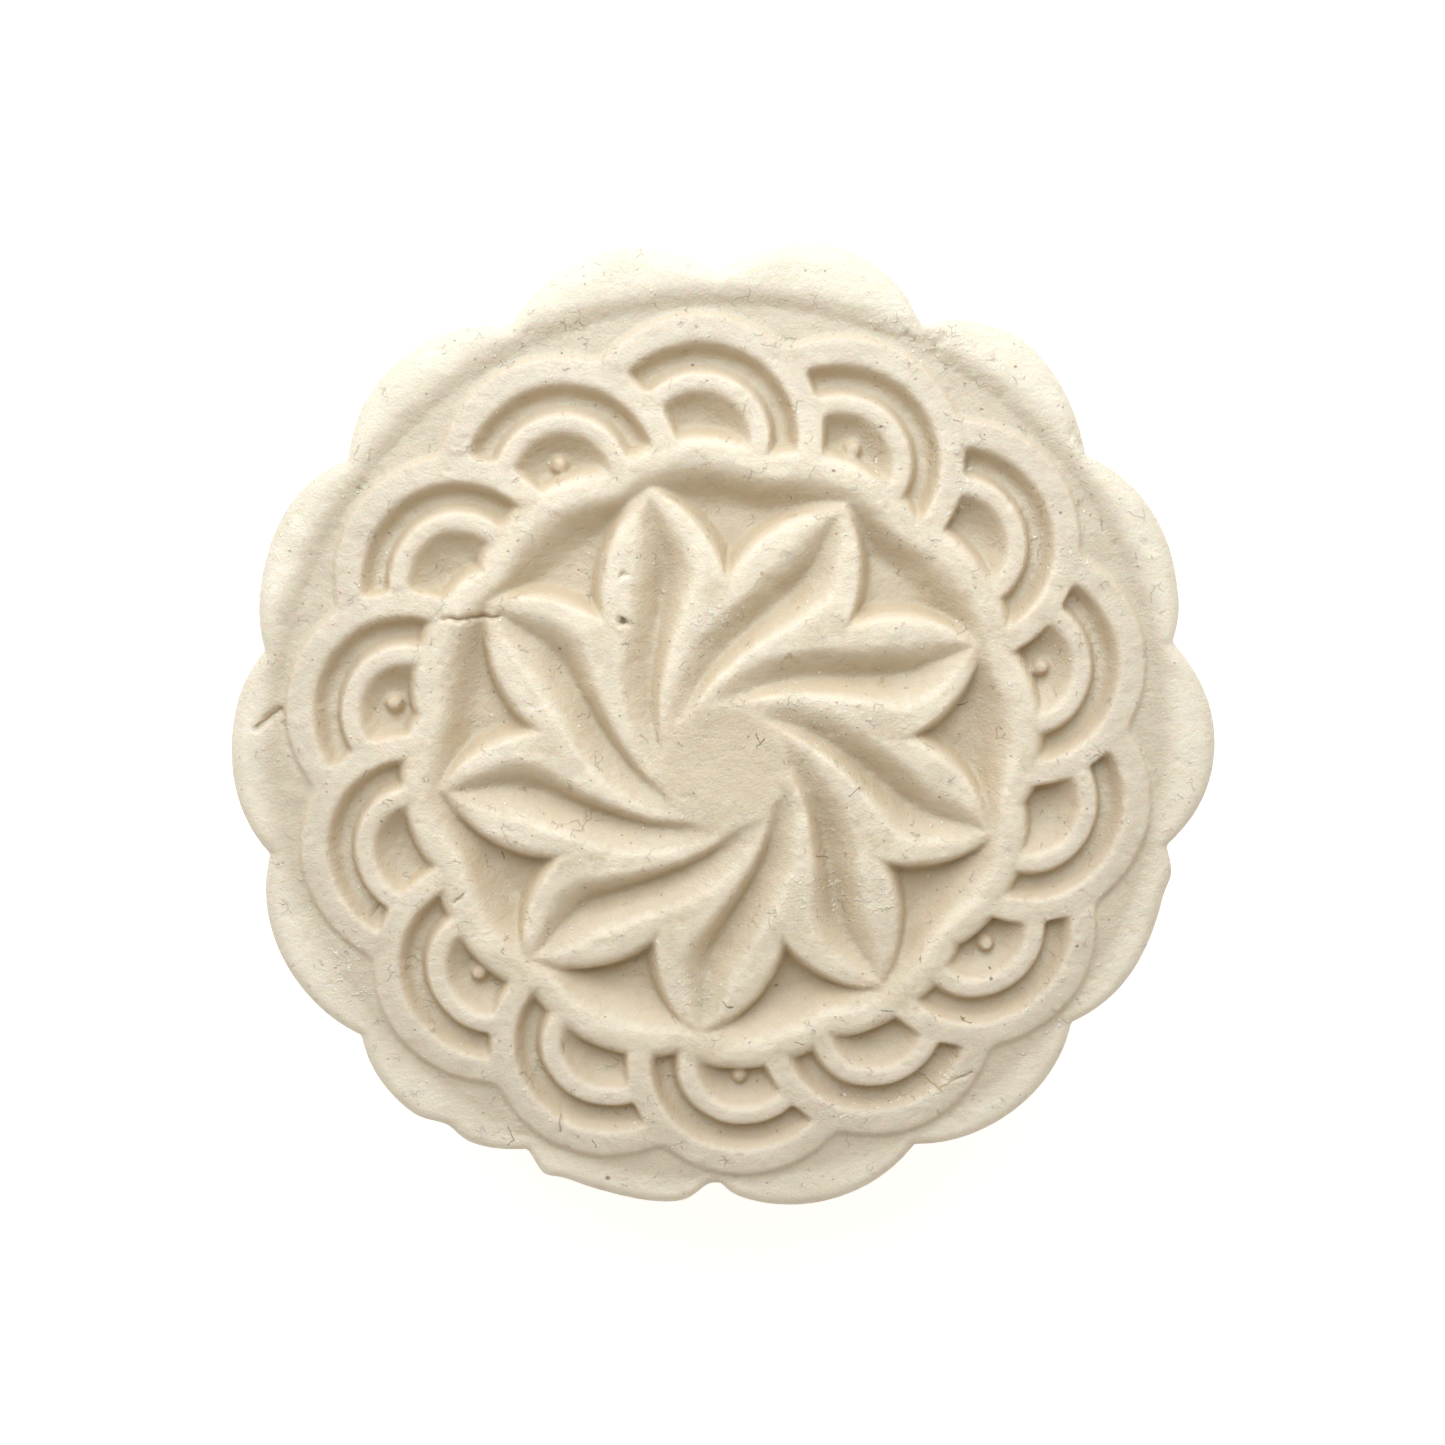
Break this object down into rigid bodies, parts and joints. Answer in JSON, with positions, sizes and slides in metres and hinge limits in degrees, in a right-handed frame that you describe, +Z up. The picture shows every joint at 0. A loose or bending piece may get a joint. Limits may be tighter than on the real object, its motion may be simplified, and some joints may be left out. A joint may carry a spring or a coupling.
{
  "type": "shaving soap puck",
  "caption": "Round scalloped puck of pressed shaving soap with a stamped relief of overlapping fans round a swirling flower.",
  "frame": {"origin": "middle of the flat underside", "axes": "+Z up out of the stamped face, +X along the crown of one edge lobe"},
  "size_m": [0.063, 0.0618, 0.0259],
  "materials": {
    "soap": "matte pressed soap, cream, faintly waxy, with fine grain, pits and a few dark specks"
  },
  "bodies": {
    "root": {"soap_puck": "soap"}
  },
  "joints": []
}
